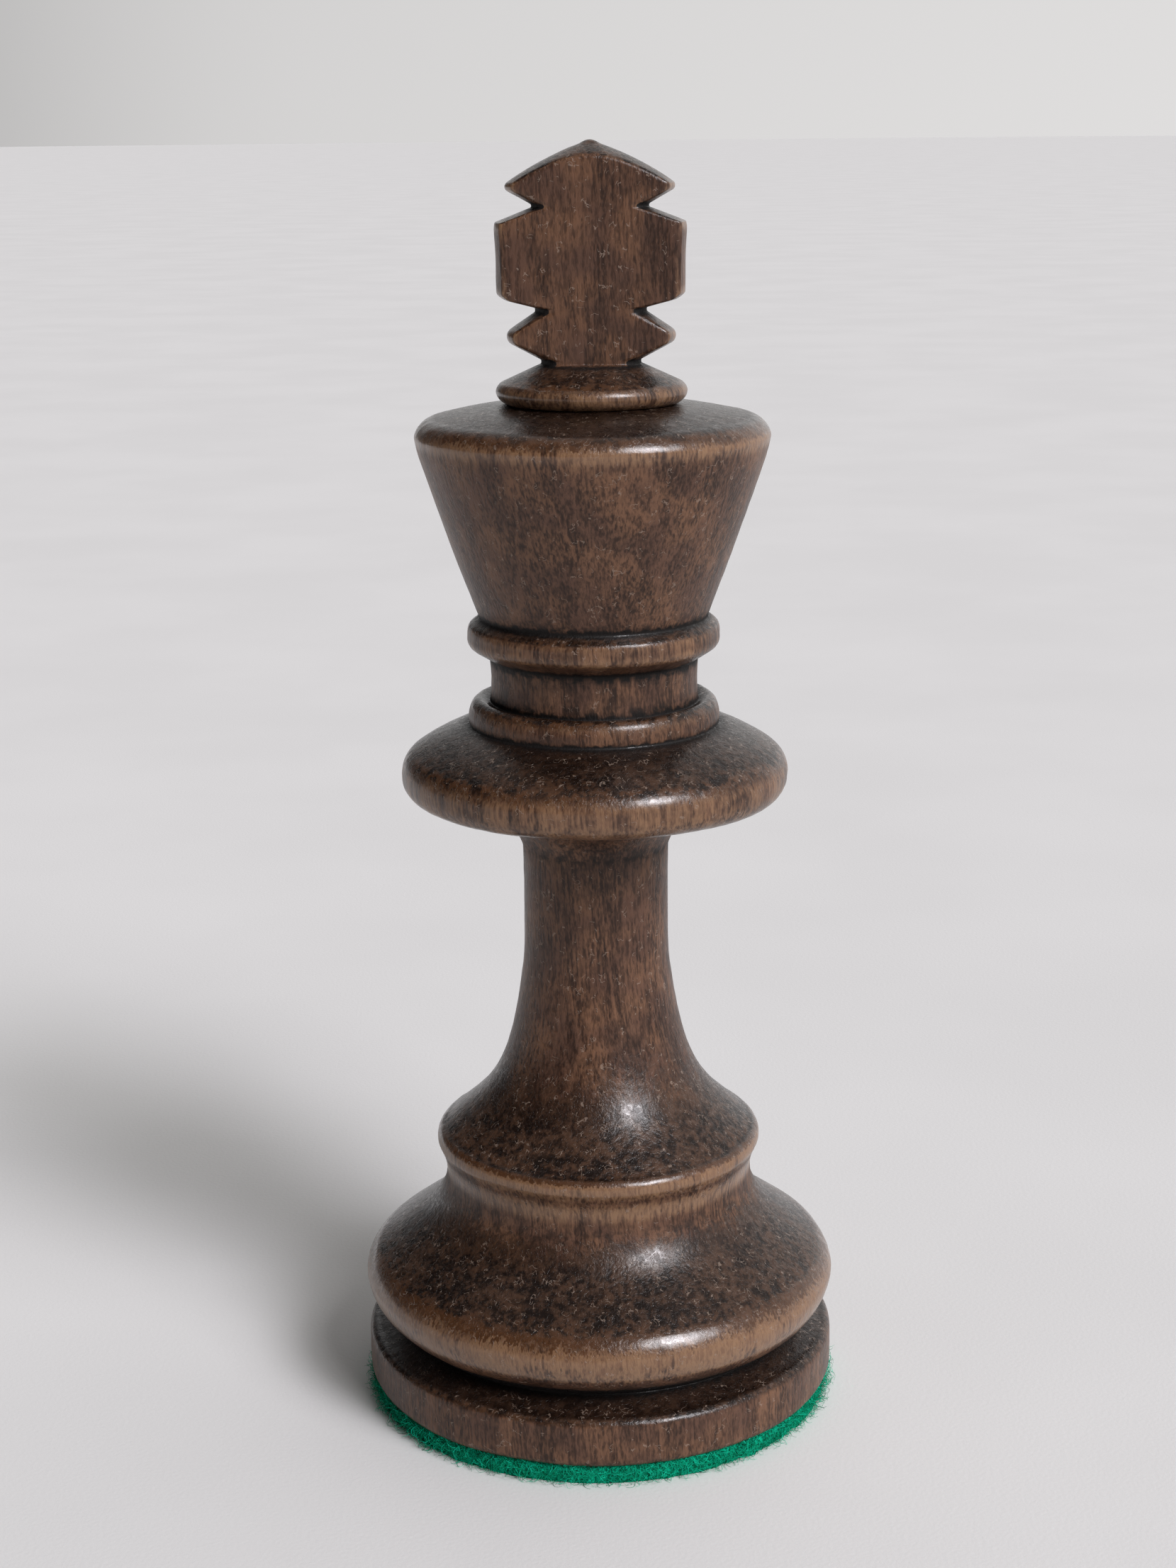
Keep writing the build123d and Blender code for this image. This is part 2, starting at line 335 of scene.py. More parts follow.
@dataclass
class Figure:
    """The wood's patterns and the piece's marks, each from 0 to 1."""

    bands: Value
    streaks: Value
    fibres: Value
    clouds: Value
    stain: Value
    mottle: Value
    grit: Value
    lines: Value
    threads: Value
    ticks: Value
    edge: Value
    hollow: Value
    slope: Value
    end: Value

    def blend(self, shares: Shares, base: float = 0.0) -> Value:
        """The base plus some patterns, each times its share."""
        return sum((share * getattr(self, name) for name, share in shares), base)

    def ragged(self, mark: Value, shares: Shares) -> Value:
        """A mark whose outline some patterns push to and fro, each by its share."""
        return sum((share * (getattr(self, name) - MIDDLE) for name, share in shares), mark)


@dataclass(frozen=True)
class StainedWood:
    """Hardwood under dark stain and satin lacquer, with its grain along Z.

    Shares weigh the patterns that add up to a tone. A span is eased from 0 at its first number to 1
    at its second.
    """

    name: str
    deep: Colour = (0.026, 0.0115, 0.0065)
    warm: Colour = (0.168, 0.083, 0.046)
    dusk: Colour = (0.110, 0.054, 0.034)
    worn: Colour = (0.262, 0.148, 0.078)
    amber: Colour = (0.090, 0.036, 0.013)
    end: Colour = (0.0085, 0.0040, 0.0026)
    end_light: Colour = (0.078, 0.039, 0.022)
    # Colour of the pale threads: partly fibres and lint, partly painted glints of the lacquer.
    fleck: Colour = (0.300, 0.220, 0.170)
    # Colour of the hollows: partly dirt and gathered finish, partly painted shade.
    crevice_shade: Colour = (0.0035, 0.0018, 0.0012)
    grain_turn: Colour = (0.02, 0.045, 0.0)
    relief: float = 0.024 * MM

    bands: Layer = Layer(0.5, (0.36, 0.64), grain=0.07)
    streaks: Layer = Layer(4.5, (0.36, 0.64), grain=0.07)
    fibres: Layer = Layer(5.5, (0.38, 0.62), 2.0, 0.6, 0.27)
    clouds: Layer = Layer(0.35, (0.35, 0.65))
    stain: Layer = Layer(0.3, (0.42, 0.62), 3.0, 0.6, 0.5)
    mottle: Layer = Layer(1.5, (0.38, 0.62), 3.0, 0.6)
    grit: Layer = Layer(3.4, (0.32, 0.68), 2.0, 0.6)
    lines: Layer = Layer(0.4, (0.045, 0.0), grain=0.07)
    threads: Layer = Layer(2.4, (0.035, 0.012))
    ticks: Layer = Layer(2.6, (0.22, 0.1), grain=0.27)
    tick_groups: Layer = Layer(0.7, (0.48, 0.6), 2.0)
    fleck_groups: Layer = Layer(1.7, (0.64, 0.69), 0.0)

    side_shares: Shares = (
        ("bands", 0.2),
        ("streaks", 0.26),
        ("fibres", 0.36),
        ("mottle", 0.06),
        ("lines", 0.24),
        ("stain", -0.15),
    )
    side_span: Span = (-0.1, 0.85)
    side_ticks: float = 0.6
    end_shares: Shares = (
        ("grit", 0.22),
        ("mottle", 0.36),
        ("clouds", 0.2),
        ("lines", 0.16),
        ("stain", -0.15),
    )
    end_span: Span = (0.0, 0.85)
    end_ragged: Shares = (("mottle", 0.2),)
    end_slope: Span = (0.2, 0.64)
    flat_slope: Span = (0.75, 0.97)
    flat_dark: float = 0.72

    side_ragged: Shares = (("streaks", 0.26), ("fibres", 0.12))
    side_slope: Span = (0.58, 0.40)
    wear_base: float = 0.35
    wear_shares: Shares = (("streaks", 0.5), ("bands", 0.35), ("mottle", 0.3))
    wear_span: Span = (0.12, 0.9)
    wear_depth: float = 0.85
    worn_shares: Shares = (("fibres", 0.45), ("streaks", 0.35), ("bands", 0.2))
    worn_span: Span = (-0.2, 0.9)
    worn_ticks: float = 0.65
    amber_ragged: Shares = (("mottle", 0.6),)
    amber_span: Span = (0.15, 0.8)
    amber_slope: Span = (0.95, 0.7)
    amber_depth: float = 0.7
    crevice_shade_ragged: Shares = (("mottle", 0.35),)
    crevice_shade_span: Span = (0.2, 0.75)
    fleck_ends: float = 0.03
    fleck_hollow: Span = (0.5, 0.1)
    fleck_depth: float = 0.5

    side_relief: Shares = (("fibres", 0.5), ("streaks", 0.2), ("ticks", -0.5))
    end_relief: Shares = (("grit", 0.6), ("mottle", 0.6), ("threads", 0.6))
    fleck_relief: float = 0.4
    satin: float = 0.33
    satin_shares: Shares = (("end", -0.07), ("mottle", 0.05), ("hollow", 0.4))
    edge_gloss: float = 0.5
    edge_gloss_span: Span = (0.2, 0.8)
    end_gloss: float = 0.08
    grit_gloss: float = 0.45
    thread_gloss: float = 0.5
    lacquer_roughness: float = 0.2
    reflection: float = 0.32

    def figure(self, shader: Shader, place: Value) -> Figure:
        """The patterns of the wood.

        Args:
            shader: The finish's shader.
            place: The point in the wood, with the grain along Z.

        Returns:
            The patterns and the piece's marks.
        """
        names = ("bands", "streaks", "fibres", "clouds", "stain", "mottle", "grit")
        made = {name: getattr(self, name).patches(shader, place) for name in names}
        made |= {name: getattr(self, name).veins(shader, place) for name in ("lines", "threads")}
        pores = shader.cells(shader.stretch(place, (1.0, 1.0, self.ticks.grain)), self.ticks.scale)
        made["ticks"] = pores.rise(*self.ticks.span) * self.tick_groups.patches(shader, place)
        edge, hollow, slope = (shader.read(mark.value) for mark in (Mark.EDGE, Mark.HOLLOW, Mark.END))
        figure = Figure(**made, edge=edge, hollow=hollow, slope=slope, end=slope)
        figure.end = figure.ragged(slope, self.end_ragged).rise(*self.end_slope)
        return figure

    def stained(self, shader: Shader, figure: Figure) -> Value:
        """Side grain on the sides and darker end grain on the tops.

        Args:
            shader: The finish's shader.
            figure: The wood's patterns.

        Returns:
            The stained wood's colour.
        """
        side_tone = figure.blend(self.side_shares).rise(*self.side_span)
        side = shader.mix(self.deep, shader.mix(self.dusk, self.warm, figure.clouds), side_tone)
        side = shader.mix(side, self.deep, self.side_ticks * figure.ticks)
        end_tone = figure.blend(self.end_shares).rise(*self.end_span)
        end_tone = end_tone * (1 - self.flat_dark * figure.slope.rise(*self.flat_slope))
        return shader.mix(side, shader.mix(self.end, self.end_light, end_tone), figure.end)

    def rubbed(self, shader: Shader, figure: Figure, colour: Value) -> Value:
        """The stain thinned to amber above the edges and worn light below them.

        Args:
            shader: The finish's shader.
            figure: The wood's patterns.
            colour: The stained wood.

        Returns:
            The worn wood.
        """
        side = figure.ragged(figure.slope, self.side_ragged).rise(*self.side_slope)
        wear = (figure.edge * figure.blend(self.wear_shares, self.wear_base)).rise(*self.wear_span) * side
        amber = figure.ragged(figure.edge, self.amber_ragged).rise(*self.amber_span)
        amber = amber * (1 - side) * figure.slope.rise(*self.amber_slope)
        colour = shader.mix(colour, self.amber, self.amber_depth * amber)
        worn = shader.mix(self.warm, self.worn, figure.blend(self.worn_shares).rise(*self.worn_span))
        worn = shader.mix(worn, self.deep, self.worn_ticks * figure.ticks)
        return shader.mix(colour, worn, self.wear_depth * wear)

    def material(self) -> bpy.types.Material:
        """Build the nodes of the wood.

        Returns:
            The material.
        """
        shader = Shader.of_material(self.name)
        place = shader.place(self.grain_turn)
        figure = self.figure(shader, place)
        end = figure.end
        colour = self.rubbed(shader, figure, self.stained(shader, figure))
        # The hollows darken towards the crevice colour: partly dirt and gathered finish, partly painted
        # shade.
        crevice_shade = figure.ragged(figure.hollow, self.crevice_shade_ragged).rise(*self.crevice_shade_span)
        colour = shader.mix(colour, self.crevice_shade, crevice_shade)
        # Pale threads lighten the colour: partly fibres and lint, partly painted glints.
        groups = self.fleck_groups.noise(shader, place) + self.fleck_ends * end
        fleck = figure.threads * groups.rise(*self.fleck_groups.span)
        shown = self.fleck_depth * fleck * figure.hollow.rise(*self.fleck_hollow)
        colour = shader.mix(colour, self.fleck, shown)

        relief = figure.blend(self.side_relief) * (1 - end) + figure.blend(self.end_relief) * end
        relief = relief + self.fleck_relief * fleck
        broken = self.grit_gloss * figure.grit * figure.mottle + self.thread_gloss * figure.threads
        edge_coat = self.edge_gloss * figure.edge.rise(*self.edge_gloss_span)
        return shader.finish(
            colour,
            figure.blend(self.satin_shares, self.satin),
            Normal=shader.bump(relief, self.relief),
            Specular_IOR_Level=self.reflection,
            Coat_Weight=edge_coat + end * (self.end_gloss + broken),
            Coat_Roughness=self.lacquer_roughness,
        )


@dataclass(frozen=True)
class Felt:
    """Dyed wool felt."""

    name: str
    deep: Colour = (0.0010, 0.110, 0.056)
    light: Colour = (0.0035, 0.430, 0.245)
    tangle: Layer = Layer(3.0, (0.0, 0.16), 3.0, 0.6)
    relief: float = 0.12 * MM
    roughness: float = 0.95
    reflection: float = 0.05

    def material(self) -> bpy.types.Material:
        """Build the nodes of the felt.

        Returns:
            The material.
        """
        shader = Shader.of_material(self.name)
        tangle = self.tangle.veins(shader, shader.place())
        colour = shader.mix(self.light, self.deep, tangle)
        normal = shader.bump(1 - tangle, self.relief)
        return shader.finish(colour, self.roughness, Normal=normal, Specular_IOR_Level=self.reflection)


@dataclass(frozen=True)
class FeltFibre:
    """One shade of the felt's loose fibres."""

    name: str
    colour: Colour
    roughness: float = 0.8
    reflection: float = 0.1

    def material(self) -> bpy.types.Material:
        """The fibre as a plain dyed material."""
        shader = Shader.of_material(self.name)
        return shader.finish(self.colour, self.roughness, Specular_IOR_Level=self.reflection)


@dataclass(frozen=True)
class BarSteel:
    """Cut end of a mild steel bar with turning marks."""

    name: str
    bright: Colour = (0.50, 0.50, 0.51)
    dull: Colour = (0.26, 0.25, 0.25)
    marks: Layer = Layer(0.3, (0.0, 1.0), 3.0, grain=20.0)
    stains: Layer = Layer(0.6, (0.4, 0.65), 4.0)
    relief: float = 0.02 * MM
    smooth: float = 0.35
    marked: float = 0.3

    def material(self) -> bpy.types.Material:
        """Build the nodes of the steel.

        Returns:
            The material.
        """
        shader = Shader.of_material(self.name)
        place = shader.place()
        marks = self.marks.noise(shader, place)
        colour = shader.mix(self.bright, self.dull, self.stains.patches(shader, place))
        normal = shader.bump(marks, self.relief)
        return shader.finish(colour, self.smooth + self.marked * marks, Normal=normal, Metallic=1.0)


@dataclass(frozen=True)
class CastFiller:
    """Poured filler that set round the weight, matt and slightly pitted."""

    name: str
    pale: Colour = (0.62, 0.55, 0.44)
    dark: Colour = (0.40, 0.34, 0.26)
    clouds: Layer = Layer(0.5, (0.35, 0.6), 4.0, 0.6)
    pits: Layer = Layer(0.9, (0.22, 0.1))
    pit_shade: float = 0.6
    relief: float = 0.1 * MM
    roughness: float = 0.85

    def material(self) -> bpy.types.Material:
        """Build the nodes of the filler.

        Returns:
            The material.
        """
        shader = Shader.of_material(self.name)
        place = shader.place()
        cloud = self.clouds.noise(shader, place)
        pits = shader.cells(place, self.pits.scale).rise(*self.pits.span)
        colour = shader.mix(self.dark, self.pale, cloud.rise(*self.clouds.span))
        # Painted shade: the pits are darkened towards the dark tone.
        colour = shader.mix(colour, self.dark, self.pit_shade * pits)
        return shader.finish(colour, self.roughness, Normal=shader.bump(cloud - pits, self.relief))


@dataclass(frozen=True)
class FloorPaper:
    """Matt white card."""

    name: str
    pale: Colour = (0.80, 0.795, 0.785)
    tone: Colour = (0.77, 0.765, 0.755)
    clouds: Layer = Layer(0.02, (0.3, 0.7), 3.0)
    tooth: Layer = Layer(3.0, (0.0, 1.0), 3.0)
    relief: float = 0.02 * MM
    roughness: float = 0.8

    def material(self) -> bpy.types.Material:
        """Build the nodes of the card.

        Returns:
            The material.
        """
        shader = Shader.of_material(self.name)
        place = shader.place()
        colour = shader.mix(self.tone, self.pale, self.clouds.patches(shader, place))
        normal = shader.bump(self.tooth.noise(shader, place), self.relief)
        return shader.finish(colour, self.roughness, Normal=normal)


# ---------------------------------------------------------------- turned meshes


@dataclass(frozen=True)
class Ripple:
    """Smooth unevenness made of a few plane waves, the same on each run."""

    seed: int
    wavelength: float
    waves: int = 18
    frequencies: Span = (0.6, 1.7)
    crest: float = 1.6

    def at(self, points: np.ndarray) -> np.ndarray:
        """The ripple's height at each point, mostly within -1 and 1.

        Args:
            points: Where to read it.

        Returns:
            A number for each point.
        """
        draw = np.random.default_rng(self.seed)
        ways = draw.normal(size=(self.waves, 3))
        ways /= np.linalg.norm(ways, axis=1)[:, None]
        ways *= (2 * math.pi / self.wavelength * draw.uniform(*self.frequencies, self.waves))[:, None]
        total = np.zeros(points.shape[:-1])
        for way, phase in zip(ways, draw.uniform(0, 2 * math.pi, self.waves)):
            total += np.cos(points @ way + phase)
        return total * math.sqrt(2 / self.waves) / self.crest


def section(node: str) -> np.ndarray:
    """Half outline of a CAD node.

    Args:
        node: The node's name.

    Returns:
        (radius, height) points from the axis at the bottom round the outside to the axis at the top.
    """
    mesh = bmesh.new()
    mesh.from_mesh(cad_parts[node].data)
    slack = SECTION_SLACK * MM
    bmesh.ops.remove_doubles(mesh, verts=mesh.verts, dist=slack)
    everything = mesh.verts[:] + mesh.edges[:] + mesh.faces[:]
    plane = {"plane_co": (0, 0, 0), "plane_no": (0, 1, 0)}
    cut = bmesh.ops.bisect_plane(mesh, geom=everything, dist=slack / 2, **plane)
    lines = [part for part in cut["geom_cut"] if isinstance(part, bmesh.types.BMEdge)]
    links: dict[tuple[float, float], list[tuple[float, float]]] = {}
    for line in lines:
        ends = [tuple(round(v.co[axis] / MM, SECTION_DIGITS) for axis in (0, 2)) for v in line.verts]
        if min(end[0] for end in ends) > -SECTION_SLACK and ends[0] != ends[1]:
            links.setdefault(ends[0], []).append(ends[1])
            links.setdefault(ends[1], []).append(ends[0])
    mesh.free()
    at = min((end for end, beside in links.items() if len(beside) == 1), key=lambda end: end[1])
    chain, seen = [at], {at}
    while True:
        ahead = [end for end in links[at] if end not in seen]
        if not ahead:
            return np.array(chain) * MM
        at = ahead[0]
        seen.add(at)
        chain.append(at)


@dataclass(frozen=True)
class Outline:
    """A turned piece's half outline, sampled finely, with the marks of its shape."""

    points: np.ndarray
    normals: np.ndarray
    marks: dict[Mark, np.ndarray]
    length: np.ndarray

    def round_marks(self, columns: int) -> dict[Mark, np.ndarray]:
        """The marks repeated round each ring."""
        return {mark: np.repeat(values[:, None], columns, 1) for mark, values in self.marks.items()}

    def share(self) -> np.ndarray:
        """How far along the outline each point is, from 0 to 1."""
        return self.length / self.length[-1]


@dataclass(frozen=True)
class OutlineMaker:
    """Turns a section's corner points into a smooth, slightly worn outline."""

    corner: float = math.radians(18)
    step: float = 0.04 * MM
    wear: float = 0.09 * MM
    near: float = 0.45 * MM
    wide: float = 1.3 * MM
    fine_step: float = 0.13 * MM
    coarse_step: float = 0.75 * MM
    soften_span: float = 4.0
    turn_step: float = 0.11
    least_bend: float = 1.0
    bend_reach: float = 0.1 * MM
    uneven: float = 2.4
    underside: float = 0.5
    edge_depths: Span = (0.10 * MM, 0.35 * MM)
    hollow_depths: Span = (0.12 * MM, 0.5 * MM)

    def tangents(self, points: np.ndarray) -> tuple[np.ndarray, np.ndarray]:
        """Directions in which the outline enters and leaves each point.

        Args:
            points: The section's points.

        Returns:
            The entering and the leaving directions; they differ at a corner.
        """
        steps = np.diff(points, axis=0)
        lengths = np.linalg.norm(steps, axis=1)
        ways = steps / lengths[:, None]
        enter = np.vstack([ways[:1], ways])
        leave = np.vstack([ways, ways[-1:]])
        for i in range(1, len(points) - 1):
            turn = math.acos(float(np.clip(ways[i - 1] @ ways[i], -1, 1)))
            if turn > self.corner:
                continue
            before, after = lengths[i - 1], lengths[i]
            if max(before, after) > self.uneven * min(before, after):
                shared = ways[i - 1] if before > after else ways[i]
            else:
                shared = ways[i - 1] * after + ways[i] * before
                shared = shared / np.linalg.norm(shared)
            enter[i] = leave[i] = shared
        return enter, leave

    def curve(self, points: np.ndarray) -> np.ndarray:
        """Even, fine points on a curve through the section's points.

        Args:
            points: The section's points.

        Returns:
            Points one step apart.
        """
        enter, leave = self.tangents(points)
        parts = []
        for i in range(len(points) - 1):
            span = np.linalg.norm(points[i + 1] - points[i])
            t = np.linspace(0, 1, max(2, int(span / self.step)), endpoint=False)[:, None]
            parts.append(
                (2 * t**3 - 3 * t**2 + 1) * points[i]
                + (t**3 - 2 * t**2 + t) * span * leave[i]
                + (3 * t**2 - 2 * t**3) * points[i + 1]
                + (t**3 - t**2) * span * enter[i + 1]
            )
        rough = np.vstack([*parts, points[-1:]])
        along = np.concatenate([[0], np.cumsum(np.linalg.norm(np.diff(rough, axis=0), axis=1))])
        even = np.arange(0, along[-1], self.step)
        even = np.append(even, along[-1])
        return np.column_stack([np.interp(even, along, rough[:, k]) for k in range(2)])

    def soften(self, points: np.ndarray, reach: float) -> np.ndarray:
        """The even points averaged along the outline over a reach, with both ends kept.

        Args:
            points: Points one step apart.
            reach: Spread of the average, in metres.

        Returns:
            As many points, smoothed.
        """
        half = int(self.soften_span * reach / self.step) + 1
        weights = np.exp(-0.5 * (np.arange(-half, half + 1) * self.step / reach) ** 2)
        weights /= weights.sum()
        before = 2 * points[0] - points[half:0:-1]
        after = 2 * points[-1] - points[-2 : -half - 2 : -1]
        long = np.vstack([before, points, after])
        return np.column_stack([np.convolve(long[:, k], weights, "valid") for k in range(2)])

    def make(self, node: str) -> Outline:
        """The outline of a CAD node.

        Args:
            node: The node's name.

        Returns:
            The outline, with closer points where it bends.
        """
        even = self.soften(self.curve(section(node)), self.wear)
        ways = np.gradient(even, axis=0)
        ways /= np.linalg.norm(ways, axis=1)[:, None]
        normals = np.column_stack([ways[:, 1], -ways[:, 0]])
        near = ((even - self.soften(even, self.near)) * normals).sum(1)
        wide = ((even - self.soften(even, self.wide)) * normals).sum(1)
        bend = np.linalg.norm(np.gradient(ways, axis=0), axis=1) / self.step
        bend = self.soften(np.column_stack([bend, bend]), self.bend_reach)[:, 0]
        spacing = self.turn_step / np.maximum(bend, self.least_bend)
        spacing = np.clip(spacing, self.fine_step, self.coarse_step)
        count = np.concatenate([[0], np.cumsum(self.step / spacing)[:-1]])
        wanted = np.linspace(0, count[-1], int(count[-1]) + 2)
        picks = np.interp(wanted, count, np.arange(len(even)))

        def pick(values: np.ndarray) -> np.ndarray:
            """The values at the chosen points."""
            return np.interp(picks, np.arange(len(even)), values)

        def standing(depths: Span, sign: float) -> np.ndarray:
            """How far the outline stands out of its two averages, as a share of two depths."""
            shares = [np.clip(sign * gap / depth, 0, 1) for gap, depth in zip((near, wide), depths)]
            return pick(sum(shares) / len(shares))

        marks = {
            Mark.END: pick(np.maximum(normals[:, 1], -self.underside * normals[:, 1])),
            Mark.EDGE: standing(self.edge_depths, 1),
            Mark.HOLLOW: standing(self.hollow_depths, -1),
        }
        points = np.column_stack([pick(even[:, 0]), pick(even[:, 1])])
        points[:, 0] = np.maximum(points[:, 0], 0)
        normals = np.column_stack([pick(normals[:, 0]), pick(normals[:, 1])])
        return Outline(points, normals, marks, picks * self.step)


def add(name: str, data: bpy.types.ID) -> bpy.types.Object:
    """Put a mesh, light or camera in the scene.

    Args:
        name: The new object's name.
        data: The mesh, light or camera.

    Returns:
        The object.
    """
    made = bpy.data.objects.new(name, data)
    bpy.context.scene.collection.objects.link(made)
    return made


def grid_mesh(
    name: str, grid: np.ndarray, marks: dict[Mark, np.ndarray], rise: np.ndarray
) -> bpy.types.Object:
    """A closed mesh from rings of points whose first and last rings have shrunk to the axis.

    Args:
        name: The new object's name.
        grid: Points by ring and column.
        marks: A number for each point, by mark.
        rise: Height of each ring on the unrolled map, from 0 to 1.

    Returns:
        The object.
    """
    rings, columns = grid.shape[:2]
    inner = grid[1:-1].reshape(-1, 3)
    points = np.vstack([grid[:1, 0], inner, grid[-1:, 0]])
    top = len(points) - 1
    faces, places = [], []
    for j in range(columns):
        k = (j + 1) % columns
        left, right = j / columns, (j + 1) / columns
        faces.append((0, 1 + k, 1 + j))
        places.append(((left, rise[0]), (right, rise[1]), (left, rise[1])))
        for i in range(rings - 3):
            low, high = 1 + i * columns, 1 + (i + 1) * columns
            faces.append((low + j, low + k, high + k, high + j))
            a, b = rise[i + 1], rise[i + 2]
            places.append(((left, a), (right, a), (right, b), (left, b)))
        last = 1 + (rings - 3) * columns
        faces.append((last + j, last + k, top))
        places.append(((left, rise[-2]), (right, rise[-2]), (left, rise[-1])))
    mesh = bpy.data.meshes.new(name)
    mesh.from_pydata(points.tolist(), [], faces)
    layer = mesh.uv_layers.new(name=BAKE_MAP)
    layer.uv.foreach_set("vector", np.array([c for place in places for c in place], np.float32).ravel())
    for mark, values in marks.items():
        flat = np.concatenate([values[:1, 0], values[1:-1].ravel(), values[-1:, 0]])
        mesh.attributes.new(mark.value, "FLOAT", "POINT").data.foreach_set("value", flat.astype(np.float32))
    mesh.shade_smooth()
    return add(name, mesh)


def turned(outline: np.ndarray, columns: int) -> tuple[np.ndarray, np.ndarray]:
    """Turn an outline round Z.

    Args:
        outline: (radius, height) points.
        columns: How many points go round.

    Returns:
        Points by ring and column, and each column's way out from the axis.
    """
    angles = np.arange(columns) / columns * 2 * math.pi
    ways = np.column_stack([np.cos(angles), np.sin(angles)])
    grid = np.empty((len(outline), columns, 3))
    grid[..., :2] = outline[:, :1, None] * ways
    grid[..., 2] = outline[:, 1:]
    return grid, ways


def dress(piece: bpy.types.Object, slot: str, *finishes: bpy.types.Material) -> bpy.types.Object:
    """Give a new piece its finish and let it ride on the king.

    Args:
        piece: The piece.
        slot: The record's material slot; not used.
        finishes: Its materials.

    Returns:
        The piece.
    """
    for finish in finishes:
        piece.data.materials.append(finish)
    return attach(piece, ROOT)


@dataclass
class Body:
    """The one-piece body, turned from foot to crown.

    Its wear is how worn the edges are, by share of the king's height.
    """

    columns: int = 264
    out_of_round: float = 0.035 * MM
    sway: Ripple = Ripple(3, 14 * MM)
    sway_squash: Colour = (1, 1, 0.6)
    tool_marks: float = 0.010 * MM
    chatter: Ripple = Ripple(5, 1.6 * MM)
    nicks: float = 0.05 * MM
    nick_places: Ripple = Ripple(9, 2.2 * MM, 24)
    nick_level: float = 0.55
    still_radius: float = 2 * MM
    rubbed_neck: int = 1
    rub_reach: float = 0.8 * MM
    rub_rise: float = 0.7
    rub_depth: float = 0.8
    rub_limit: float = 1.1
    groove_shadow_reach: float = 0.5 * MM
    groove_shadow_rise: float = 0.6
    wear: tuple[tuple[float, ...], ...] = (
        (0.0, 0.082, 0.088, 0.2, 0.45, 0.55, 0.57, 0.66, 0.72),
        (0.15, 0.15, 1.8, 1.25, 0.68, 0.68, 0.5, 0.52, 0.95),
    )
    finish: StainedWood = StainedWood("stained_wood")

    def rub(self, outline: Outline) -> None:
        """Wear each member's edges by its own amount, rub the small neck over the bell light, and paint
        shadow into the lowest groove.

        Args:
            outline: The body's outline, whose marks are changed.
        """
        radius, height = outline.points.T
        edge = outline.marks[Mark.EDGE]
        necks = np.nonzero((radius[1:-1] < radius[:-2]) & (radius[1:-1] <= radius[2:]))[0] + 1
        edge *= np.interp(height / CAD_BOX[1].z, *self.wear)
        groove, neck = necks[0], necks[self.rubbed_neck]
        rubbed = np.exp(-(((height - height[neck]) / self.rub_reach - self.rub_rise) ** 2))
        rubbed *= radius < self.rub_limit * radius[neck]
        edge[:] = np.maximum(edge, self.rub_depth * rubbed)
        # Painted shadow: a dark band in the lowest groove, added to the hollow mark.
        dark = np.exp(-(((height - height[groove]) / self.groove_shadow_reach - self.groove_shadow_rise) ** 2))
        hollow = outline.marks[Mark.HOLLOW]
        hollow[:] = np.maximum(hollow * (1 - rubbed), dark)

    def mesh(self) -> bpy.types.Object:
        """Build the body's mesh.

        Returns:
            The new object.
        """
        outline = OutlineMaker().make("body")
        self.rub(outline)
        base, ways = turned(outline.points, self.columns)
        shift = self.out_of_round * self.sway.at(base * self.sway_squash)
        shift += self.tool_marks * self.chatter.at(base)
        edge = outline.marks[Mark.EDGE][:, None]
        shift -= self.nicks * edge * np.clip(self.nick_places.at(base) - self.nick_level, 0, 1)
        shift *= np.clip(outline.points[:, :1] / self.still_radius, 0, 1)
        grid = base.copy()
        grid[..., :2] += (shift * outline.normals[:, :1])[..., None] * ways
        grid[..., 2] += shift * outline.normals[:, 1:]
        return grid_mesh("body_turned", grid, outline.round_marks(self.columns), outline.share())

    def build(self) -> list[bpy.types.Object]:
        """Make and dress the body.

        Returns:
            The body alone.
        """
        made = dress(self.mesh(), "stained_wood", self.finish.material())
        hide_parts("body")
        return [made]


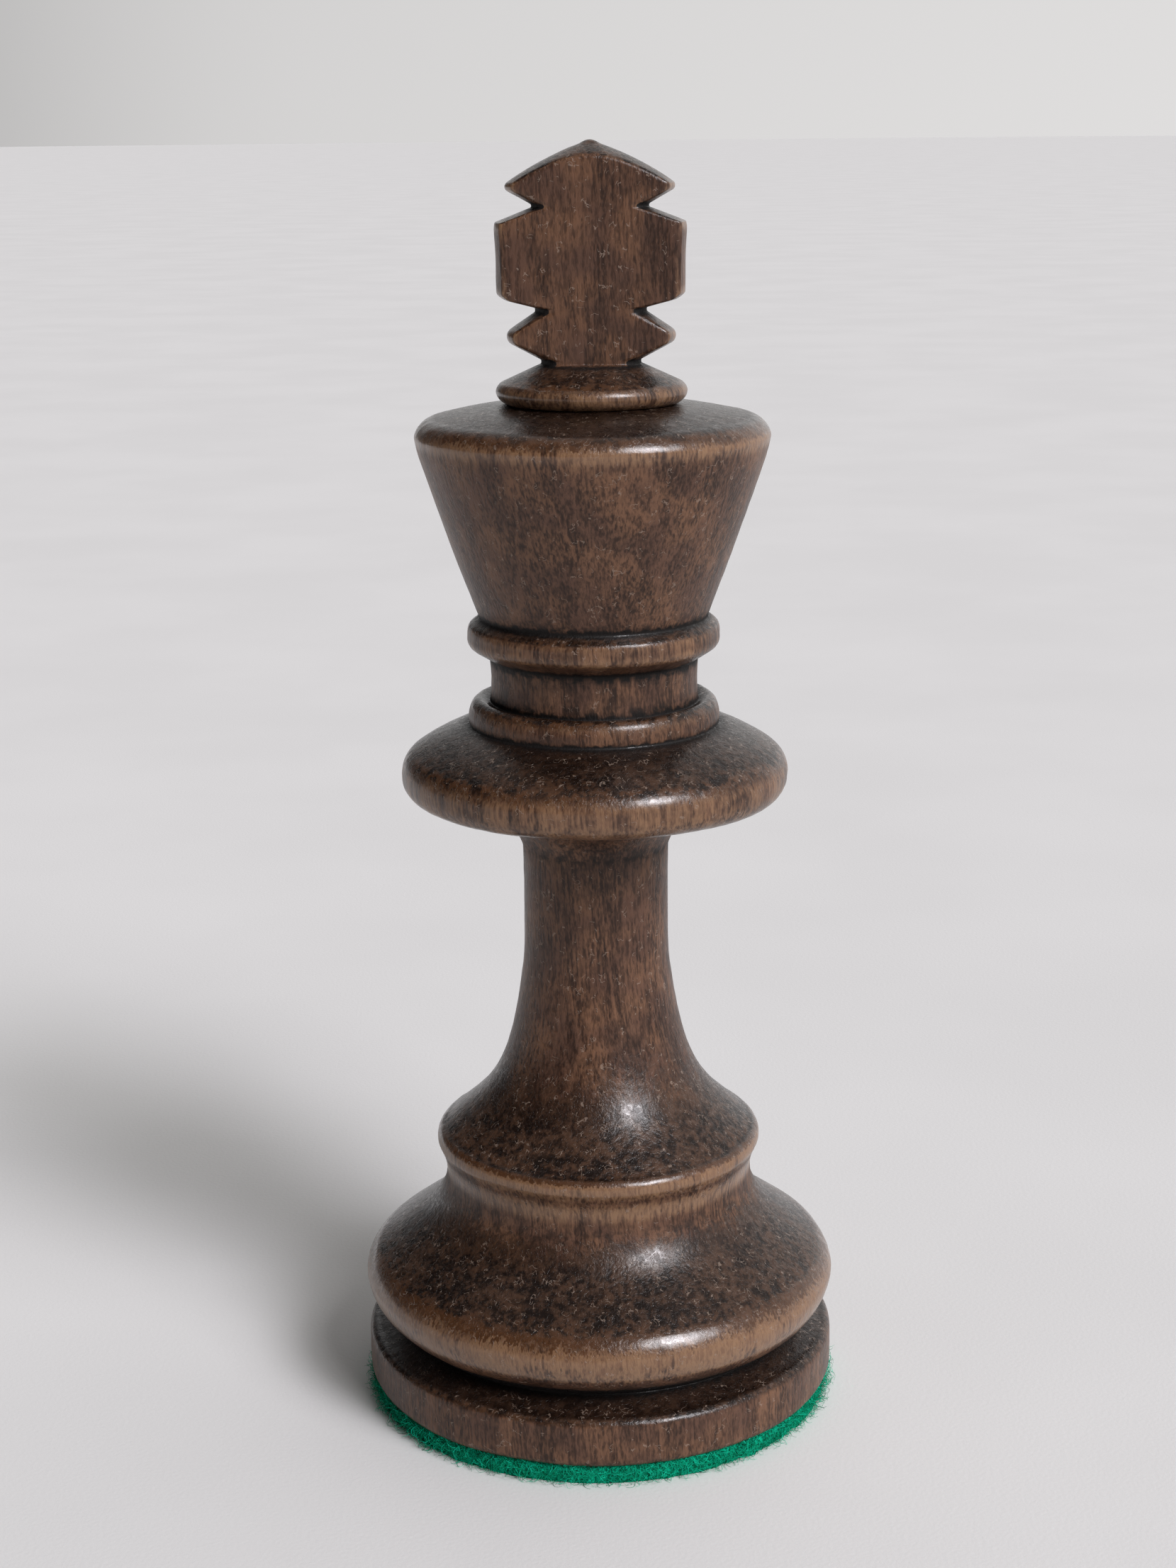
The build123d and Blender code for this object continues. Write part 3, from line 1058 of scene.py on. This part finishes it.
@dataclass
class Finial:
    """The turned finial, cut flat on two sides above its collar."""

    columns_flat: int = 52
    columns_side: int = 26
    crowd_flat: float = 1.4
    crowd_side: float = 1.6
    outline: OutlineMaker = OutlineMaker(fine_step=0.1 * MM, coarse_step=0.3 * MM, wear=0.06 * MM)
    corner_round: float = 0.16 * MM
    corner_reach: float = 4.0
    steepest: float = math.radians(72)
    run_out: float = 0.12 * MM
    hand_cut: float = 0.02 * MM
    cut_marks: Ripple = Ripple(21, 3 * MM)
    still_radius: float = 1 * MM
    tip: float = 3 * MM
    flat_slack: float = 0.01 * MM
    wear: float = 0.65
    corner_wear: float = 0.35
    top_grain: float = 0.75
    finish: StainedWood = StainedWood(
        "finial_wood", warm=(0.146, 0.071, 0.039), dusk=(0.094, 0.046, 0.029), grain_turn=(-0.05, 0.03, 0.9)
    )

    def angles(self, radius: np.ndarray, half: float) -> np.ndarray:
        """Angle of each point round each ring.

        Args:
            radius: The turned radius at each ring.
            half: Half the thickness between the flats.

        Returns:
            Angles by ring and column, with columns that keep to the flats' edges.
        """
        corner = np.arcsin(np.clip(half / np.maximum(radius, half), 0, math.sin(self.steepest)))
        side, flat = (
            np.sign(even) * (1 - (1 - np.abs(even)) ** crowd)
            for even, crowd in (
                (np.linspace(-1, 1, 2 * self.columns_side + 1)[:-1], self.crowd_side),
                (np.linspace(-1, 1, 2 * self.columns_flat + 1)[:-1], self.crowd_flat),
            )
        )
        right = side * corner[:, None]
        back = math.pi / 2 + flat * (math.pi / 2 - corner[:, None])
        return np.hstack([right, back, right + math.pi, back + math.pi])

    def mesh(self) -> bpy.types.Object:
        """Build the finial's mesh.

        Returns:
            The new object.
        """
        outline = self.outline.make("finial")
        radius, height = outline.points.T
        shoulder, half = self.cut()
        angles = self.angles(radius, half)
        ways = np.dstack([np.cos(angles), np.sin(angles)])
        flat = half / np.maximum(np.abs(ways[..., 1]), np.finfo(np.float32).eps)
        turned = radius[:, None] * np.ones_like(angles)
        corner = np.clip(1 - np.abs(turned - flat) / (self.corner_reach * self.corner_round), 0, 1)
        cut = np.minimum(turned, flat) - self.corner_round * corner**2
        cut_here = np.clip((height - shoulder) / self.run_out + MIDDLE, 0, 1)[:, None]
        reach = np.minimum(turned + (cut - turned) * cut_here, turned)
        grid = np.empty((*angles.shape, 3))
        grid[..., :2] = reach[..., None] * ways
        grid[..., 2] = height[:, None]
        shift = self.hand_cut * self.cut_marks.at(grid) * (reach > self.still_radius)
        grid[..., :2] += shift[..., None] * ways
        off_flat = 1 - (flat < turned) * cut_here
        marks = outline.round_marks(angles.shape[1])
        marks[Mark.END] *= self.top_grain * off_flat
        marks[Mark.HOLLOW] *= off_flat
        marks[Mark.EDGE] *= self.wear * off_flat
        marks[Mark.EDGE] = np.maximum(marks[Mark.EDGE], self.corner_wear * corner * cut_here)
        return grid_mesh("finial_turned", grid, marks, outline.share())

    def cut(self) -> tuple[float, float]:
        """Measure the cut of the CAD finial.

        Returns:
            Height where the flats start, and half the thickness between them.
        """
        points = np.array([v.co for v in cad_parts["finial"].data.vertices])
        collar = points[:, 2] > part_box("body")[1].z
        half = np.abs(points[points[:, 2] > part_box("finial")[1].z - self.tip, 1]).max()
        wide = collar & (np.abs(points[:, 1]) > half + self.flat_slack)
        return float(points[wide, 2].max()), float(half)

    def build(self) -> list[bpy.types.Object]:
        """Make and dress the finial.

        Returns:
            The finial alone.
        """
        made = dress(self.mesh(), "finial_wood", self.finish.material())
        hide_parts("finial")
        return [made]


@dataclass
class FeltPad:
    """The felt under the foot, with loose fibres round its edge."""

    columns: int = 420
    edge_rings: int = 10
    inner_rings: tuple[float, ...] = (0.0, 0.3, 0.6, 0.8, 0.92, 0.97)
    bulge: float = 0.10 * MM
    bulge_power: float = 2.2
    fray: float = 0.10 * MM
    fray_width: float = 0.05
    tufts: Ripple = Ripple(31, 1.1 * MM, 24)
    scissor_marks: Ripple = Ripple(32, 4 * MM)
    scissor_share: float = 0.7

    fibres: int = 6000
    seed: int = 41
    fibre_radius: float = 0.02 * MM
    fibre_radii: Span = (0.7, 1.3)
    fibre_taper: float = 0.6
    fibre_length: float = 1.3 * MM
    fibre_lengths: Span = (0.35, 1.3)
    fibre_steps: int = 5
    fibre_sides: int = 3
    root_depths: Span = (0.02, 0.2)
    root_heights: Span = (0.06, 0.97)
    outward: Span = (0.1, 1.5)
    sideways: float = 1.0
    upward: float = 0.45
    curl: float = 0.42
    stray: float = 0.3
    pull_back: float = 0.5
    lowest: float = 0.03 * MM
    highest: float = 1.1
    shade_chances: tuple[float, ...] = (0.3, 0.45, 0.25)
    finish: Felt = Felt("green_felt")
    shades: tuple[FeltFibre, ...] = (
        FeltFibre("fibre_bright", (0.010, 0.640, 0.400)),
        FeltFibre("fibre_middle", (0.002, 0.360, 0.190)),
        FeltFibre("fibre_deep", (0.0010, 0.150, 0.078)),
    )

    def sizes(self) -> tuple[float, float]:
        """Radius and thickness of the felt."""
        low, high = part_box("felt_pad")
        return high.x, high.z

    def pad(self) -> bpy.types.Object:
        """Build the pad's mesh.

        Returns:
            The new object.
        """
        radius, thick = self.sizes()
        rises = np.linspace(0, 1, self.edge_rings)
        edge = [(radius - self.bulge * abs(2 * t - 1) ** self.bulge_power, thick * t) for t in rises]
        inner = [radius * share for share in self.inner_rings]
        outline = np.array([(r, 0.0) for r in inner] + edge + [(r, thick) for r in reversed(inner)])
        grid, ways = turned(outline, self.columns)
        rim = np.clip((outline[:, 0] / radius - 1) / self.fray_width + 1, 0, 1)[:, None]
        waves = self.tufts.at(grid) + self.scissor_share * self.scissor_marks.at(grid)
        grid[..., :2] += (self.fray * rim * waves)[..., None] * ways
        length = np.concatenate([[0], np.cumsum(np.linalg.norm(np.diff(outline, axis=0), axis=1))])
        return grid_mesh("felt_disc", grid, {}, length / length[-1])

    def fibre(self, draw: np.random.Generator, radius: float, thick: float) -> list[Vector]:
        """Draw one loose fibre.

        Args:
            draw: The random draws.
            radius: Radius of the felt.
            thick: Its thickness.

        Returns:
            The corners of its cross-sections, from its root to its tip.
        """
        angle = draw.uniform(0, 2 * math.pi)
        out = Vector((math.cos(angle), math.sin(angle), 0))
        along = Vector((-out.y, out.x, 0))
        at = out * (radius - draw.uniform(*self.root_depths) * MM)
        at.z = draw.uniform(*self.root_heights) * thick
        way = out * draw.uniform(*self.outward) + along * draw.normal(0, self.sideways)
        way.z += draw.normal(0, self.upward)
        way.normalize()
        lean = Vector(draw.normal(0, 1, 3))
        step = self.fibre_length * draw.uniform(*self.fibre_lengths) / self.fibre_steps
        thickness = self.fibre_radius * draw.uniform(*self.fibre_radii)
        points = []
        for k in range(self.fibre_steps + 1):
            across = way.cross(lean).normalized()
            other = way.cross(across)
            size = thickness * (1 - self.fibre_taper * k / self.fibre_steps)
            for corner in range(self.fibre_sides):
                a = 2 * math.pi * corner / self.fibre_sides
                points.append(at + (across * math.cos(a) + other * math.sin(a)) * size)
            way = (way + across * self.curl).normalized()
            far = Vector((at.x, at.y, 0)).length - radius
            way -= out * max(0.0, far / MM - self.stray) * self.pull_back
            at = at + way * step
            at.z = min(max(at.z, self.lowest), self.highest * thick)
        return points

    def fuzz(self) -> bpy.types.Object:
        """Build the loose fibres as thin strands.

        Returns:
            One object of them all.
        """
        radius, thick = self.sizes()
        draw = np.random.default_rng(self.seed)
        sides, steps = self.fibre_sides, self.fibre_steps
        points, faces, shades = [], [], []
        for _ in range(self.fibres):
            first = len(points)
            last = first + sides * steps
            points += self.fibre(draw, radius, thick)
            for ring in range(first, last, sides):
                for corner in range(sides):
                    a, b = ring + corner, ring + (corner + 1) % sides
                    faces.append((a, b, b + sides, a + sides))
            faces.append(tuple(reversed(range(first, first + sides))))
            faces.append(tuple(range(last, last + sides)))
            shades += [int(draw.choice(len(self.shades), p=self.shade_chances))] * (sides * steps + 2)
        mesh = bpy.data.meshes.new("felt_fibres")
        mesh.from_pydata([tuple(p) for p in points], [], faces)
        mesh.polygons.foreach_set("material_index", shades)
        mesh.shade_smooth()
        return add("felt_fibres", mesh)

    def build(self) -> list[bpy.types.Object]:
        """Returns:
            The pad and its fibres.
        """
        pad = dress(self.pad(), "green_felt", self.finish.material())
        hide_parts("felt_pad")
        fuzz = dress(self.fuzz(), "green_felt", *[shade.material() for shade in self.shades])
        return [pad, fuzz]


@dataclass
class Ballast:
    """The steel slug and the filler in the base, which keep their CAD shape."""

    slug: BarSteel = BarSteel("weight_steel")
    filler: CastFiller = CastFiller("filler")

    def build(self) -> list[bpy.types.Object]:
        """Dress both CAD nodes.

        Returns:
            The slug and the filler.
        """
        made = []
        for node, finish in (("weight_slug", self.slug), ("weight_filler", self.filler)):
            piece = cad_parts[node]
            piece.material_slots[0].material = finish.material()
            made.append(piece)
        return made


# ---------------------------------------------------------------- studio


@dataclass
class Studio:
    """Pale floor, soft light and the camera."""

    floor_radius: float = 12.0
    floor_corners: int = 96
    room_light: float = 0.40
    room_slant: Colour = (0.25, 0.29, -0.12)
    room_least: float = 0.02
    dim_way: Colour = (-0.95, 0.31, 0.0)
    dim_span: Span = (0.4, 0.8)
    dim_depth: float = 0.9
    room_colour: Colour = (1.0, 0.985, 0.98)
    key_turn: float = math.radians(42)
    key_height: float = math.radians(40)
    key_width: float = math.radians(30)
    key_power: float = 2.05
    key_colour: Colour = (0.98, 0.968, 0.987)
    core_width: float = math.radians(15)
    core_power: float = 0.95
    core_colour: Colour = (0.93, 0.905, 0.985)
    camera_distance: float = 184.96 * MM
    camera_height: float = 96.36 * MM
    camera_pitch: float = math.radians(14.6)
    camera_turn: float = math.radians(0.167)
    camera_roll: float = math.radians(-0.55)
    lens: float = 58.59
    sensor: float = 36.0
    nearest: float = 0.01

    def floor(self) -> bpy.types.Object:
        """Lay the floor.

        Returns:
            The new object.
        """
        mesh = bmesh.new()
        bmesh.ops.create_circle(mesh, cap_ends=True, segments=self.floor_corners, radius=self.floor_radius)
        data = bpy.data.meshes.new("floor")
        mesh.to_mesh(data)
        mesh.free()
        data.materials.append(FloorPaper("floor_card").material())
        made = add("floor", data)
        return made

    def world(self) -> None:
        """Light the room softly, more from the right and the back, with a dark patch at the left."""
        world = bpy.data.worlds.new("room")
        shader = Shader(world, "Background")
        way = shader.node("ShaderNodeTexCoord", output="Generated")
        slant, dim = (
            shader.node("ShaderNodeVectorMath", {"operation": "DOT_PRODUCT"}, {0: way, 1: other}, "Value")
            for other in (self.room_slant, self.dim_way)
        )
        level = (slant + self.room_light) * (1 - self.dim_depth * dim.rise(*self.dim_span))
        level = level.most(self.room_least)
        shader.feed(shader.surface.inputs["Strength"], level)
        shader.feed(shader.surface.inputs["Color"], self.room_colour)
        bpy.context.scene.world = world

    def key(self, name: str, width: float, power: float, colour: Colour) -> None:
        """Hang a distant light to the right of the camera.

        Args:
            name: The light's name.
            width: Its apparent width.
            power: Its strength.
            colour: Its colour.
        """
        light = bpy.data.lights.new(name, "SUN")
        light.angle = width
        light.energy = power
        light.color = colour
        add(name, light).rotation_euler = (math.pi / 2 - self.key_height, 0, self.key_turn)

    def camera(self) -> None:
        """Set up the camera."""
        data = bpy.data.cameras.new("camera")
        data.lens = self.lens
        data.sensor_width = self.sensor
        data.clip_start = self.nearest
        made = add("camera", data)
        made.location = (0, -self.camera_distance, self.camera_height)
        turn = Euler((0, 0, self.camera_turn)).to_matrix()
        tilt = Euler((math.pi / 2 - self.camera_pitch, 0, 0)).to_matrix()
        roll = Euler((0, 0, self.camera_roll)).to_matrix()
        made.rotation_euler = (turn @ tilt @ roll).to_euler()
        bpy.context.scene.camera = made

    def build(self) -> None:
        """Set up everything."""
        self.floor()
        self.world()
        self.key("window", self.key_width, self.key_power, self.key_colour)
        self.key("window_core", self.core_width, self.core_power, self.core_colour)
        self.camera()
        bpy.context.scene.view_settings.view_transform = "Standard"


def main() -> None:
    """Build the king and the studio."""
    logging.basicConfig(level=logging.INFO, format="%(message)s")
    for part in (Body(), Finial(), FeltPad(), Ballast()):
        for piece in part.build():
            log.info("%s: %s, %d faces", type(part).__name__, piece.name, len(piece.data.polygons))
    Studio().build()


if __name__ == "__main__":
    main()
